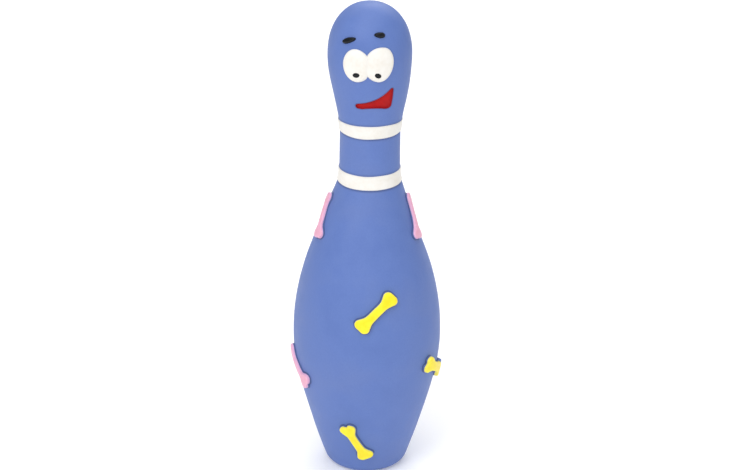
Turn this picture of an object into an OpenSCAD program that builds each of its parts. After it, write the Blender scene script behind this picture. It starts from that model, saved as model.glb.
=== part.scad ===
// Squeaky latex toy in the form of a bowling pin with a comic face.
//
// A hollow skin of natural latex carries moulded reliefs: small bones, two eyes,
// two eyebrows and a sunk mouth. Thin coats of coloured latex are brushed over the
// reliefs and round the neck. Polyester wadding fills the skin, and a plastic
// squeaker with a reed is buttoned into the hole in the base.
//
// Frame: millimetres, +Z up, origin at the centre of the base, on the pin's axis.
// The face looks along -Y. Angles round the pin are measured from the face,
// positive towards +X.

/* [Body] */
// Overall height
pin_h = 210; // [200:1:220]
// Largest diameter, across the belly
belly_d = 64; // [62:0.5:66]
// Diameter of the neck between the two bands
neck_d = 25.6; // [25:0.2:27]
// Largest diameter of the head
head_d = 35; // [33:0.5:37]
// Diameter of the flat that the pin stands on
foot_d = 27; // [26:0.5:28]
// Radius of the rounded corner at the foot
foot_round = 5; // [4:0.5:6]
// Thickness of the latex wall
wall = 2.2; // [1.8:0.1:2.4]

/* [Neck bands] */
// Width of each white band
band_w = 6; // [4:0.2:6]
// Height of the middle of the upper band
band_hi_z = 158; // [157:0.5:159]
// Height of the middle of the lower band
band_lo_z = 135.5; // [135:0.5:137]

/* [Reliefs] */
// Thickness of a brushed coat of coloured latex
coat = 0.3; // [0.2:0.05:0.4]
// Height of a moulded bone above the skin
bone_relief = 1.5; // [0.8:0.1:1.8]
// Length of a moulded bone
bone_l = 19.6; // [18:0.2:21]
// Width of a moulded bone across its two knobs
bone_w = 7; // [6.6:0.2:7.6]
// Width of a moulded bone's shank
bone_shank = 3.4; // [2.8:0.2:4]
// Height of a moulded eye above the skin
eye_relief = 0.7; // [0.4:0.1:1]
// Height of a moulded eyebrow above the skin
brow_relief = 0.6; // [0.3:0.1:0.8]
// Depth that the mouth is sunk into the skin
mouth_sink = 0.6; // [0.4:0.1:0.8]
// Length of the mouth from its tip to its open end
mouth_l = 15; // [13:0.5:16]
// Height of the mouth at its open end
mouth_h = 9; // [7:0.5:10]

/* [Squeaker] */
// Outer diameter of the squeaker's barrel, and of the hole in the latex
barrel_d = 16; // [15:0.5:16.5]
// Diameter of the squeaker's flange
flange_d = 20.6; // [20:0.2:21]
// Length of the barrel above the flange
barrel_h = 14.4; // [14:0.2:18]
// Wall thickness of the barrel
barrel_wall = 1; // [0.8:0.1:1.2]
// Diameter of the sound hole in the squeaker's floor
sound_hole_d = 5; // [4:0.5:6]
// Thickness of the reed
reed_t = 0.2; // [0.15:0.05:0.25]
// Width of the reed
reed_w = 4.6; // [4:0.2:5]
// Radial clearance round the reed's root bead
bead_gap = 0.04; // [0.02:0.01:0.08]

/* [Hidden] */
$fn = 96;

// ---- the pin's outline ----
foot_r = foot_d / 2;
belly_r = belly_d / 2;
neck_r = neck_d / 2;
head_r = head_d / 2;
kz = pin_h / 210;
kb = belly_r / 32;
head_z = 188 * kz;

// The foot's round corner runs from the flat up to the wall, which leans out there.
foot_end = 70;
foot_arc = [for (a = [0 : 7 : foot_end])
  [foot_r + foot_round * sin(a), foot_round * (1 - cos(a))]];

// Stations above the foot: height, radius, and how fast the radius grows with height.
stations = [
  [foot_round * (1 - cos(foot_end)), foot_r + foot_round * sin(foot_end), 0.36],
  [30 * kz, 26.5 * kb, 0.285],
  [62 * kz, belly_r, 0],
  [100 * kz, 25.2 * kb, -0.36],
  [130 * kz, neck_r + 1.5, -0.36],
  [136.5 * kz, neck_r, 0],
  [154 * kz, neck_r - 0.1, 0],
  [162 * kz, neck_r + 0.8, 0.18],
  [175 * kz, head_r - 1.35, 0.18],
  [head_z, head_r, 0]
];
steps = [8, 10, 12, 6, 5, 4, 5, 6, 6];

// A cubic through two stations, leaving each at its own slope.
function cubic(a, b, t) = let (w = b[0] - a[0])
  (2*t*t*t - 3*t*t + 1) * a[1] + (t*t*t - 2*t*t + t) * w * a[2]
  + (3*t*t - 2*t*t*t) * b[1] + (t*t*t - t*t) * w * b[2];

wall_line = [for (i = [0 : len(stations) - 2], j = [1 : steps[i]])
  let (t = j / steps[i], a = stations[i], b = stations[i + 1])
  [cubic(a, b, t), a[0] + (b[0] - a[0]) * t]];

// The crown is a superellipse, a little fuller than a ball.
crown_n = 2.2;
crown = [for (a = [6 : 6 : 90])
  [a == 90 ? 0 : head_r * pow(cos(a), 2 / crown_n),
   head_z + (pin_h - head_z) * pow(sin(a), 2 / crown_n)]];

outline = concat(foot_arc, wall_line, crown);
last = len(outline) - 1;

// The outline moved out by d, or in where d is negative.
function unit(v) = v / norm(v);
function along(i) = i == 0 ? unit(outline[1] - outline[0])
  : i == last ? [-1, 0]
  : unit(outline[i + 1] - outline[i - 1]);
function out(i, d) = let (t = along(i)) outline[i] + d * [t[1], -t[0]];
function line_at(d, lo = -1, hi = 1000) =
  [for (i = [0 : last]) if (outline[i][1] >= lo && outline[i][1] <= hi) out(i, d)];
function back(p) = [for (i = [len(p) - 1 : -1 : 0]) p[i]];

// Radius and slope of the outline at a height.
function seg(z) = [for (i = [0 : last - 1]) if (outline[i][1] <= z && outline[i + 1][1] > z) i][0];
function radius_at(z) = let (i = seg(z), p = outline[i], q = outline[i + 1])
  p[0] + (q[0] - p[0]) * (z - p[1]) / (q[1] - p[1]);
function lean_at(z) = let (i = seg(z), p = outline[i], q = outline[i + 1])
  atan((q[0] - p[0]) / (q[1] - p[1]));

// A turned layer between two offsets of the outline, with its seam away from -X.
module layer(d0, d1, lo, hi)
  rotate_extrude() polygon(concat(line_at(d0, lo, hi), back(line_at(d1, lo, hi))));

// Places a flat outline on the wall at an angle and a height, and drives it through
// the layer between two offsets. The outline's own +Y runs up the wall.
module stamp(at, d0, d1, reach = 13) {
  z = at[1] * kz;
  rotate([0, 0, at[0] + 90])
    intersection() {
      layer(d0, d1, z - reach, z + reach);
      translate([-radius_at(z), 0, z]) rotate([0, -90 - lean_at(z), 0])
        rotate([0, 0, -90]) translate([0, 0, -4]) linear_extrude(9)
          rotate(at[2]) children();
    }
}

// ---- flat outlines ----
// A toy bone along X: two knobs at each end of a shank that flares towards them.
module bone_shape(g = 0, l = bone_l, w = bone_w) {
  kr = w * 0.27;
  a = l / 2 - kr;
  b = w / 2 - kr;
  for (x = [-a, a], y = [-b, b]) translate([x, y]) circle(kr + g, $fn = 32);
  square([2 * a, bone_shank + 2 * g], center = true);
  for (s = [0, 180]) rotate(s)
    polygon([[a * 0.45, -bone_shank / 2 - g], [a * 0.8, -w * 0.36 - g], [a, -w * 0.4 - g],
      [a, w * 0.4 + g], [a * 0.8, w * 0.36 + g], [a * 0.45, bone_shank / 2 + g]]);
}
// An oval with its own half length and half width.
module oval(a, b, g = 0) polygon([for (t = [0 : 10 : 350]) [(a + g) * cos(t), (b + g) * sin(t)]]);
// An eyebrow, thicker towards its outer end.
module brow_shape(size, g = 0) polygon([for (t = [0 : 15 : 345])
  [(size[0] / 2 + g) * cos(t), (size[1] / 2 * (1 + 0.25 * cos(t)) + g) * sin(t)]]);
// A lopsided open grin: a narrow tip at one side, widening to a tall open end at the
// other, with the lower lip bowed up a little.
function arc(x, y, r, from, to) = [for (t = [from : 15 : to]) [x + r * cos(t), y + r * sin(t)]];
module mouth_shape() difference() {
  polygon(concat(
    arc(-mouth_l / 2, -mouth_h / 2 + 1.2, 1.1, 120, 270),
    arc(mouth_l / 2 - 2.5, -mouth_h / 2 + 1.2, 1, 270, 345),
    arc(mouth_l / 2 - 1.4, mouth_h / 2 - 0.5, 0.8, -15, 120)));
  translate([-1, -mouth_h / 2 - mouth_l + 0.9]) circle(mouth_l, $fn = 120);
}

// ---- places on the wall: angle round the pin, height, turn of the outline ----
at_centre = [7, 83.5, 43];
at_low = [-10, 19, 115];
at_right = [68, 50.5, 150];
at_upper_left = [-78, 118.5, 109];
at_upper_right = [79, 117, 67];
at_lower_left = [-70, 50, 145];
at_back = [150, 86, 120];
at_back_upper = [-160, 109, 65];
at_back_low = [-170, 42, 40];
bones = [at_centre, at_low, at_right, at_upper_left, at_upper_right, at_lower_left,
  at_back, at_back_upper, at_back_low];

at_left_eye = [-18, 188, 90];
at_right_eye = [16.5, 189, 83];
left_eye_size = [6.9, 5.2];
right_eye_size = [7.3, 5.3];
eye_crease = -0.8;
at_left_pupil = [-17, 184.5, 0];
at_right_pupil = [11, 184.5, -20];
at_left_brow = [-31, 198, 201];
at_right_brow = [16.5, 200.5, -6];
left_brow_size = [5.2, 1.6];
right_brow_size = [4, 1.5];
at_mouth = [13, 173, 0];

// ---- the latex skin ----
floor_t = wall;
recess = 1.6;
recess_r = flange_d / 2 + 0.5;
floor_top = recess + floor_t;
hole_r = barrel_d / 2;
inner_line = [for (p = line_at(-wall)) if (p[1] > floor_top + 0.8) p];
skin_section = concat(
  [[recess_r, 0]], outline, back(inner_line),
  [[inner_line[0][0] - 0.9, floor_top], [hole_r, floor_top], [hole_r, recess], [recess_r, recess]]);

module skin_blank() rotate([0, 0, 90]) rotate_extrude() polygon(skin_section);

module latex_skin() color([0.25, 0.33, 0.66]) difference() {
  union() {
    skin_blank();
    for (b = bones) stamp(b, -0.5, bone_relief) bone_shape();
    stamp(at_left_eye, -0.5, eye_relief) oval(left_eye_size[0], left_eye_size[1]);
    stamp(at_right_eye, -0.5, eye_relief) oval(right_eye_size[0], right_eye_size[1]);
    stamp(at_left_brow, -0.5, brow_relief) brow_shape(left_brow_size);
    stamp(at_right_brow, -0.5, brow_relief) brow_shape(right_brow_size);
  }
  stamp(at_mouth, -mouth_sink, 2) mouth_shape();
}

// ---- coats of coloured latex ----
// A coat wraps the top and the sides of its relief, and stands on the skin round it.
module bone_coat(at, bare = []) difference() {
  stamp(at, 0, bone_relief + coat) difference() {
    bone_shape(coat);
    for (k = bare) translate([k[0] * (bone_l / 2 - 1), k[1] * (bone_w / 2 - 1)]) circle(3.2, $fn = 32);
  }
  stamp(at, -1, bone_relief, 14) bone_shape();
}
yellow = [0.95, 0.86, 0.02];
pink = [0.86, 0.45, 0.62];
module yellow_bone_centre() color(yellow) bone_coat(at_centre);
module yellow_bone_low() color(yellow) bone_coat(at_low);
module yellow_bone_right() color(yellow) bone_coat(at_right, [[-1, -1]]);
module pink_bone_upper_left() color(pink) bone_coat(at_upper_left);
module pink_bone_upper_right() color(pink) bone_coat(at_upper_right);
module pink_bone_lower_left() color(pink) bone_coat(at_lower_left);
module yellow_bone_back() color(yellow) bone_coat(at_back);
module pink_bone_back_upper() color(pink) bone_coat(at_back_upper);
module pink_bone_back_low() color(pink) bone_coat(at_back_low);

// The eyes' coats meet along the crease between them.
module eye_coat(at, size, side) difference() {
  stamp(at, 0, eye_relief + coat) oval(size[0], size[1], coat);
  stamp(at_left_eye, -1, eye_relief, 14) oval(left_eye_size[0], left_eye_size[1]);
  stamp(at_right_eye, -1, eye_relief, 14) oval(right_eye_size[0], right_eye_size[1]);
  translate([side > 0 ? eye_crease - 40 : eye_crease, -40, 170 * kz]) cube([40, 40, 40]);
}
module left_eye() color("white") eye_coat(at_left_eye, left_eye_size, -1);
module right_eye() color("white") eye_coat(at_right_eye, right_eye_size, 1);
module pupil(at) stamp(at, eye_relief + coat, eye_relief + coat + 0.25, 6) oval(1.4, 1.15);
module left_pupil() color([0.05, 0.05, 0.05]) pupil(at_left_pupil);
module right_pupil() color([0.05, 0.05, 0.05]) pupil(at_right_pupil);
module brow_coat(at, size) difference() {
  stamp(at, 0, brow_relief + coat, 6) brow_shape(size, coat);
  stamp(at, -1, brow_relief, 7) brow_shape(size);
}
module left_eyebrow() color([0.05, 0.05, 0.05]) brow_coat(at_left_brow, left_brow_size);
module right_eyebrow() color([0.05, 0.05, 0.05]) brow_coat(at_right_brow, right_brow_size);
module mouth() color([0.7, 0.05, 0.05]) stamp(at_mouth, -mouth_sink, -mouth_sink + coat) mouth_shape();

// A brushed ring round the neck, between two heights.
function ring_line(z0, z1, d) = concat([[radius_at(z0) + d, z0]],
  [for (p = outline) if (p[1] > z0 + 0.2 && p[1] < z1 - 0.2) [p[0] + d, p[1]]],
  [[radius_at(z1) + d, z1]]);
module neck_band(z) color("white") rotate([0, 0, 90]) rotate_extrude()
  polygon(concat(ring_line(z - band_w / 2, z + band_w / 2, 0),
    back(ring_line(z - band_w / 2, z + band_w / 2, coat))));
module upper_neck_band() neck_band(band_hi_z * kz);
module lower_neck_band() neck_band(band_lo_z * kz);

// ---- the squeaker ----
flange_r = flange_d / 2;
flange_t = 1.2;
cup_z = recess - flange_t;
cup_floor = recess;
barrel_top = recess + barrel_h;
bore_r = hole_r - barrel_wall;
socket_r = 4;
socket_wall = 1;
socket_h = 5;
lip_z = floor_top + 0.1;

// Flange, floor, barrel with its snap bead, and the socket for the reed.
module squeaker_cup() color([0.9, 0.9, 0.86]) rotate([0, 0, 90]) rotate_extrude() polygon([
  [sound_hole_d / 2, cup_z], [flange_r - 0.4, cup_z], [flange_r, cup_z + 0.4], [flange_r, recess],
  [hole_r, recess], [hole_r, lip_z], [hole_r + 1, lip_z + 0.2], [hole_r + 1, lip_z + 0.7],
  [hole_r, lip_z + 1.7], [hole_r, barrel_top], [bore_r, barrel_top],
  [bore_r, cup_floor], [socket_r + socket_wall, cup_floor],
  [socket_r + socket_wall, cup_floor + socket_h], [socket_r, cup_floor + socket_h],
  [socket_r, cup_floor], [sound_hole_d / 2, cup_floor]]);

// A perforated plug in the barrel's mouth keeps the wadding away from the reed.
lid_t = 1;
spigot_h = 1.6;
vent_d = 2.4;
module squeaker_lid() color([0.9, 0.9, 0.86]) difference() {
  union() {
    translate([0, 0, barrel_top]) cylinder(r = hole_r, h = lid_t);
    translate([0, 0, barrel_top - spigot_h]) cylinder(r = bore_r, h = spigot_h);
  }
  translate([0, 0, barrel_top - spigot_h - 1]) cylinder(r = bore_r - 1, h = spigot_h + 1);
  for (a = [0 : 60 : 300]) rotate([0, 0, a]) translate([4.2, 0, barrel_top - 1])
    cylinder(d = vent_d, h = lid_t + 2, $fn = 32);
  translate([0, 0, barrel_top - 1]) cylinder(d = vent_d, h = lid_t + 2, $fn = 32);
}

// The reed stands between the tone board and the wedge. Its rolled root bead turns in
// a round seat, and the faces on both sides lean away from it, so that it can swing.
root_z = cup_floor + 3.6;
bead_r = 0.5;
reed_top = root_z + 7.6;
board_top = root_z + 8.2;
swing = 4.5;
face = reed_t / 2 + 0.03;
gap_top = face + (board_top + 1 - root_z) * tan(swing);
module swing_space() translate([-6, 0, 0]) rotate([90, 0, 90]) linear_extrude(12)
  polygon([[-face, root_z - 0.9], [face, root_z - 0.9], [face, root_z],
    [gap_top, board_top + 1], [-gap_top, board_top + 1], [-face, root_z]]);
module bead_seat() translate([-6, 0, root_z]) rotate([0, 90, 0])
  cylinder(r = bead_r + bead_gap, h = 12, $fn = 48);
module half_round(side, h) intersection() {
  translate([0, 0, cup_floor]) cylinder(r = socket_r, h = h);
  translate([-6, side > 0 ? 0 : -12, cup_floor - 1]) cube([12, 12, h + 2]);
}

// Half-round board with a channel that leads the air under the reed to the sound hole.
channel_w = 2.8;
channel_d = 2.2;
module tone_board() color([0.92, 0.9, 0.84]) difference() {
  half_round(1, board_top - cup_floor);
  swing_space();
  bead_seat();
  translate([-channel_w / 2, -1, cup_floor - 1]) cube([channel_w, 1 + channel_d, board_top - cup_floor - 0.2]);
}
module reed_wedge() color([0.92, 0.9, 0.84]) difference() {
  half_round(-1, socket_h);
  swing_space();
  bead_seat();
}
module reed() color([0.8, 0.85, 0.9]) union() {
  translate([-reed_w / 2, 0, root_z]) rotate([0, 90, 0]) cylinder(r = bead_r, h = reed_w, $fn = 48);
  translate([-reed_w / 2, -reed_t / 2, root_z]) cube([reed_w, reed_t, reed_top - root_z]);
}

// ---- the wadding ----
loose = 0.3;
pocket_r = hole_r + 1.6;
pocket_top = barrel_top + lid_t + 1.5;
fill_line = [for (p = line_at(-wall - loose)) if (p[1] > floor_top + 2.2) p];
module fibre_filling() color([0.95, 0.95, 0.93]) rotate([0, 0, 90]) rotate_extrude()
  polygon(concat(fill_line, [[0, pocket_top], [pocket_r - 3, pocket_top], [pocket_r, pocket_top - 3],
    [pocket_r, floor_top + 0.4], [fill_line[0][0] - 1.5, floor_top + 0.4]]));

latex_skin();
fibre_filling();
squeaker_cup();
squeaker_lid();
tone_board();
reed_wedge();
reed();
upper_neck_band();
lower_neck_band();
left_eye();
right_eye();
left_pupil();
right_pupil();
left_eyebrow();
right_eyebrow();
mouth();
yellow_bone_centre();
yellow_bone_low();
yellow_bone_right();
pink_bone_upper_left();
pink_bone_upper_right();
pink_bone_lower_left();
yellow_bone_back();
pink_bone_back_upper();
pink_bone_back_low();
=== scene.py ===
import math

import bpy
import numpy as np
from mathutils import Matrix, Vector, noise
from mathutils.geometry import delaunay_2d_cdt


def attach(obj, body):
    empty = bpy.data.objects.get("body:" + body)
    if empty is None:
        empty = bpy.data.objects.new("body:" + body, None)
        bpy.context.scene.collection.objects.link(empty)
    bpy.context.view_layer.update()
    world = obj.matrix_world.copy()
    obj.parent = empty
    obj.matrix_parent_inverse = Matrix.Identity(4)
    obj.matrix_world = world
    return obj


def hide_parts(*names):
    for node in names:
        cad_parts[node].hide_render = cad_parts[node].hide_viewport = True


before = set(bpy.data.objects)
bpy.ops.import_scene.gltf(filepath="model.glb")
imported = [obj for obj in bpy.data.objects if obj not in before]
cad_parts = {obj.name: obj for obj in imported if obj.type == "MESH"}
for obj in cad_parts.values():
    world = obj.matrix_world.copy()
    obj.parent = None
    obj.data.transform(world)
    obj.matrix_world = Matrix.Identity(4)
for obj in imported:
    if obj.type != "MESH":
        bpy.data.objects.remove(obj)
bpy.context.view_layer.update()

MM = 0.001

# ------------------------------------------------------------------ camera
ELEV = math.radians(23.0)
ROLL = math.radians(0.45)
MM_PX = 0.428  # millimetres to a pixel at the pin's axis
FOCAL_PX = 2000.0
AIM_Z = 106.6


def make_camera():
    f = Vector((0, math.cos(ELEV), -math.sin(ELEV)))
    u = Vector((0, math.sin(ELEV), math.cos(ELEV)))
    r = Vector((1, 0, 0))
    c, s = math.cos(ROLL), math.sin(ROLL)
    right, up = r * c + u * s, u * c - r * s
    aim = Vector((0, 0, AIM_Z * MM))
    pos = aim - f * (FOCAL_PX * MM_PX * MM)
    pos += (right * -2.6 + up * 0.5) * (MM_PX * MM)
    cam = bpy.data.cameras.new("camera")
    cam.sensor_width = 36.0
    cam.lens = FOCAL_PX * 36.0 / 730.0
    cam.clip_start, cam.clip_end = 0.01, 50.0
    o = bpy.data.objects.new("camera", cam)
    m = Matrix((right, up, -f)).transposed().to_4x4()
    m.translation = pos
    o.matrix_world = m
    bpy.context.scene.collection.objects.link(o)
    bpy.context.scene.camera = o


make_camera()

# ------------------------------------------------------------------ outline of the pin, in millimetres
FOOT_R, FOOT_ROUND, WALL = 13.5, 5.0, 2.2
HEAD_Z, HEAD_R, PIN_H, CROWN_N = 188.0, 17.5, 210.0, 2.2
end = math.radians(70)
STATIONS = [
    (FOOT_ROUND * (1 - math.cos(end)), FOOT_R + FOOT_ROUND * math.sin(end), 0.36),
    (30, 26.5, 0.285), (62, 32.0, 0.0), (100, 25.2, -0.36), (130, 14.3, -0.36),
    (136.5, 12.8, 0.0), (154, 12.7, 0.0), (162, 13.6, 0.18), (175, 16.15, 0.18), (HEAD_Z, HEAD_R, 0.0),
]


# The skin is pulled off its mould by hand and isn't quite straight: the neck sits a little to the side.
LEAN = [(0, 0), (118, 0), (132, 0.6), (168, 0.8), (186, 0.3), (210, 0.3)]


def ease(z, stations):
    """A smooth curve through a few (height, amount) pairs."""
    z = np.asarray(z, float)
    st = np.array(stations, float)
    i = np.clip(np.searchsorted(st[:, 0], z, side="right") - 1, 0, len(st) - 2)
    t = np.clip((z - st[i, 0]) / (st[i + 1, 0] - st[i, 0]), 0, 1)
    t = t * t * (3 - 2 * t)
    return st[i, 1] * (1 - t) + st[i + 1, 1] * t


def outline():
    pts = []
    for a in np.radians(np.linspace(0, 70, 60)):
        pts.append((FOOT_R + FOOT_ROUND * math.sin(a), FOOT_ROUND * (1 - math.cos(a))))
    for a, b in zip(STATIONS, STATIONS[1:]):
        w = b[0] - a[0]
        for t in np.linspace(0, 1, 90)[1:]:
            pts.append(((2*t**3 - 3*t**2 + 1) * a[1] + (t**3 - 2*t**2 + t) * w * a[2]
                        + (3*t**2 - 2*t**3) * b[1] + (t**3 - t**2) * w * b[2], a[0] + w * t))
    for a in np.radians(np.linspace(0, 90, 300)[1:]):
        pts.append((HEAD_R * max(math.cos(a), 0) ** (2 / CROWN_N),
                    HEAD_Z + (PIN_H - HEAD_Z) * math.sin(a) ** (2 / CROWN_N)))
    p = np.array(pts)
    p[-1, 0] = 0
    return p


LINE = outline()
_seg = np.linalg.norm(np.diff(LINE, axis=0), axis=1)
ARC = np.concatenate([[0], np.cumsum(_seg)])
S_END = float(ARC[-1])
# even samples along the outline, with smoothed normals
_s = np.linspace(0, S_END, 2400)
_r, _z = np.interp(_s, ARC, LINE[:, 0]), np.interp(_s, ARC, LINE[:, 1])
_k = np.ones(9) / 9
_dr, _dz = np.gradient(_r, _s), np.gradient(_z, _s)
_dr = np.convolve(np.pad(_dr, 4, mode="edge"), _k, "valid")
_dz = np.convolve(np.pad(_dz, 4, mode="edge"), _k, "valid")
_n = np.hypot(_dr, _dz)
_nr, _nz = _dz / _n, -_dr / _n


def r_of(s): return np.interp(s, _s, _r)
def z_of(s): return np.interp(s, _s, _z)
def s_of_z(z): return np.interp(z, _z, _s)


def wall_point(theta, s, h=0.0):
    """A point on the pin's wall, h millimetres proud of it. theta is from the face, towards +X."""
    theta, s = np.asarray(theta, float), np.asarray(s, float)
    nr, nz = np.interp(s, _s, _nr), np.interp(s, _s, _nz)
    r = r_of(s) + nr * h
    return np.stack([r * np.sin(theta), -r * np.cos(theta), z_of(s) + nz * h], -1)


# ------------------------------------------------------------------ flat outlines
def spline(points, n=24):
    """A smooth closed curve through a few points."""
    p = np.array(points, float)
    out = []
    m = len(p)
    for i in range(m):
        a, b, c, d = p[(i - 1) % m], p[i], p[(i + 1) % m], p[(i + 2) % m]
        for t in np.arange(n) / n:
            out.append(0.5 * (2*b + (c - a)*t + (2*a - 5*b + 4*c - d)*t*t + (3*b - a - 3*c + d)*t**3))
    return np.array(out)


def even(poly, step):
    """The same closed curve with even spacing, running anticlockwise."""
    poly = np.asarray(poly, float)
    x, y = poly[:, 0], poly[:, 1]
    if np.sum(x * np.roll(y, -1) - np.roll(x, -1) * y) < 0:
        poly = poly[::-1]
    q = np.vstack([poly, poly[:1]])
    a = np.concatenate([[0], np.cumsum(np.linalg.norm(np.diff(q, axis=0), axis=1))])
    n = max(12, int(round(a[-1] / step)))
    t = np.arange(n) * a[-1] / n
    return np.stack([np.interp(t, a, q[:, 0]), np.interp(t, a, q[:, 1])], 1)


def normals_of(poly):
    t = np.roll(poly, -1, 0) - np.roll(poly, 1, 0)
    t /= np.linalg.norm(t, axis=1)[:, None]
    return np.stack([t[:, 1], -t[:, 0]], 1)  # outward, for an anticlockwise curve


def depth_in(poly, pts):
    """Distance from each point to the curve, positive inside it."""
    pts = np.asarray(pts, float)
    a, b = poly, np.roll(poly, -1, 0)
    ab = b - a
    out = np.empty(len(pts))
    for i in range(0, len(pts), 3000):
        p = pts[i:i + 3000, None, :]
        t = np.clip(((p - a) * ab).sum(-1) / (ab * ab).sum(-1), 0, 1)
        d = np.sqrt((((p - a) - ab * t[..., None]) ** 2).sum(-1)).min(1)
        y0, y1 = a[:, 1], b[:, 1]
        py, px = p[..., 1], p[..., 0]
        cross = (y0 > py) != (y1 > py)
        with np.errstate(divide="ignore", invalid="ignore"):
            xi = ab[:, 0] * (py - y0) / (y1 - y0) + a[:, 0]
        inside = (cross & (px < xi)).sum(1) % 2 == 1
        out[i:i + 3000] = np.where(inside, d, -d)
    return out


def moved(poly, dist):
    """The curve moved outward by dist, with folded points dropped."""
    q = poly + normals_of(poly) * (dist if np.isscalar(dist) else np.asarray(dist)[:, None])
    want = -np.asarray(dist) * np.ones(len(q))
    ok = np.abs(depth_in(poly, q) - want) < 0.12 * np.abs(want) + 0.02
    return q[ok]


def wobble(n, seed, amount, waves=5):
    """A smooth closed wave with no fixed period, such as a brush leaves along an edge."""
    t = np.arange(n) / n * 2 * math.pi
    out = np.zeros(n)
    for k in range(1, waves + 1):
        a = noise.noise(Vector((seed * 7.31, k * 3.7, 1.3)))
        b = noise.noise(Vector((seed * 5.17, k * 2.9, 8.1)))
        out += (a * np.cos(k * 1.7 // 1 * t + seed) + b * np.sin((k + 2) * t)) / k ** 0.5
    return out * amount


def bone_line(l=20.2, w0=7.2, n0=0.5, w1=7.2, n1=0.5, shank=3.4, skew=0.0):
    """A toy bone along X. Each end has its own width and depth of notch."""
    pts = []
    for sx, w, nd in ((1, w1, n1), (-1, w0, n0)):
        e, h, k = l / 2, w / 2, shank / 2
        side = [(e * 0.25, k), (e * 0.44, k * 1.1), (e * 0.60, h * 0.82), (e * 0.74, h * 1.0),
                (e * 0.88, h * 0.94), (e * 0.98, h * 0.62), (e * 1.0, h * 0.3), (e - nd, 0.0)]
        half = [(x, y) for x, y in side] + [(x, -y) for x, y in side[-2::-1]]
        if sx < 0:
            half = [(-x, -y) for x, y in half]
        pts += half
    p = spline(pts, 12)
    p[:, 1] += skew * (p[:, 0] / (l / 2)) ** 2
    return even(p, 0.3)


def oval_line(a, b, n=2.0):
    t = np.linspace(0, 2 * math.pi, 200, endpoint=False)
    c, s = np.cos(t), np.sin(t)
    return even(np.stack([a * np.sign(c) * np.abs(c) ** (2 / n), b * np.sign(s) * np.abs(s) ** (2 / n)], 1), 0.3)


# ------------------------------------------------------------------ reliefs on the wall
class Relief:
    """A raised or sunk shape, drawn on the plane that touches the wall at an angle and a height."""

    def __init__(self, at, line, height, edge, power=2.6, crown=0.0, crown_w=1.7):
        self.theta, self.z, turn = math.radians(at[0]), at[1], math.radians(at[2])
        s = float(s_of_z(self.z))
        nr, nz = float(np.interp(s, _s, _nr)), float(np.interp(s, _s, _nz))
        ct, st = math.cos(self.theta), math.sin(self.theta)
        self.p0 = np.array([float(r_of(s)) * st, -float(r_of(s)) * ct, self.z])
        self.n = np.array([nr * st, -nr * ct, nz])
        ex = np.array([ct, st, 0.0])
        ey = np.cross(self.n, ex)
        self.ex = ex * math.cos(turn) + ey * math.sin(turn)
        self.ey = -ex * math.sin(turn) + ey * math.cos(turn)
        self.line, self.height, self.edge, self.power = line, height, edge, power
        self.crown, self.crown_w = crown, crown_w
        self.reach = float(np.abs(line).max()) * 1.45 + 3

    def local(self, p):
        d = p - self.p0
        return np.stack([d @ self.ex, d @ self.ey], -1), d @ self.n

    def onto_wall(self, uv):
        """Angle and arc length of the wall point under each plane point."""
        base = self.p0 + uv[:, :1] * self.ex + uv[:, 1:] * self.ey
        lo, hi = np.full(len(uv), -12.0), np.full(len(uv), 3.0)
        for _ in range(40):
            mid = (lo + hi) / 2
            p = base + mid[:, None] * self.n
            out = np.hypot(p[:, 0], p[:, 1]) > np.interp(p[:, 2], _z, _r)
            hi, lo = np.where(out, mid, hi), np.where(out, lo, mid)
        p = base + ((lo + hi) / 2)[:, None] * self.n
        return np.arctan2(p[:, 0], -p[:, 1]), s_of_z(p[:, 2])

    def rise(self, d):
        x = np.clip(d / self.edge, 0, 1)
        y = np.clip(d / self.crown_w, 0, 1)
        return self.height * (1 - (1 - x) ** self.power) + self.crown * (1 - (1 - y) ** 2)


def eye_line(left, right, half_height):
    """An oval whose two sides have their own half widths."""
    t = np.linspace(0, 2 * math.pi, 200, endpoint=False)
    c = np.cos(t)
    return even(np.stack([np.where(c > 0, right, left) * c, half_height * np.sin(t)], 1), 0.28)


def brow_line(l, w):
    """An eyebrow, thicker towards its outer end."""
    t = np.linspace(0, 2 * math.pi, 120, endpoint=False)
    return even(np.stack([l / 2 * np.cos(t), w / 2 * (1 + 0.25 * np.cos(t)) * np.sin(t)], 1), 0.28)


def around_circles(circles):
    """The taut outline round a few circles, each given as x, y and radius."""
    t = np.linspace(0, 2 * math.pi, 48, endpoint=False)
    p = sorted({(round(x + r * math.cos(a), 6), round(y + r * math.sin(a), 6)) for x, y, r in circles for a in t})
    halves = []
    for run in (p, p[::-1]):
        h = []
        for q in run:
            while len(h) > 1 and ((h[-1][0] - h[-2][0]) * (q[1] - h[-2][1])
                                  - (h[-1][1] - h[-2][1]) * (q[0] - h[-2][0])) <= 0:
                h.pop()
            h.append(q)
        halves += h[:-1]
    return even(np.array(halves), 0.2)


def mouth_line(l, h):
    """A lopsided open grin: a narrow tip, a tall open end, and a lower lip bowed up a little."""
    p = around_circles([(-l / 2, -h / 2 + 1.2, 1.1), (l / 2 - 3, -h / 2 + 1.8, 1.6), (l / 2 - 1.4, h / 2 - 0.5, 0.8)])
    cx, cy = -1.0, -h / 2 - l + 0.9
    lip = cy + np.sqrt(np.maximum(l * l - (p[:, 0] - cx) ** 2, 0))
    p[:, 1] = np.where(np.hypot(p[:, 0] - cx, p[:, 1] - cy) < l, lip, p[:, 1])
    c, r = np.array([-l, 2 * l - 1.0]), 2 * l + 2  # the upper lip is hollowed by a wide arc
    out = np.linalg.norm(p - c, axis=1)
    p = np.where((out < r)[:, None], c + (p - c) * (r / out)[:, None], p)
    return even(p, 0.28)


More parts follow.
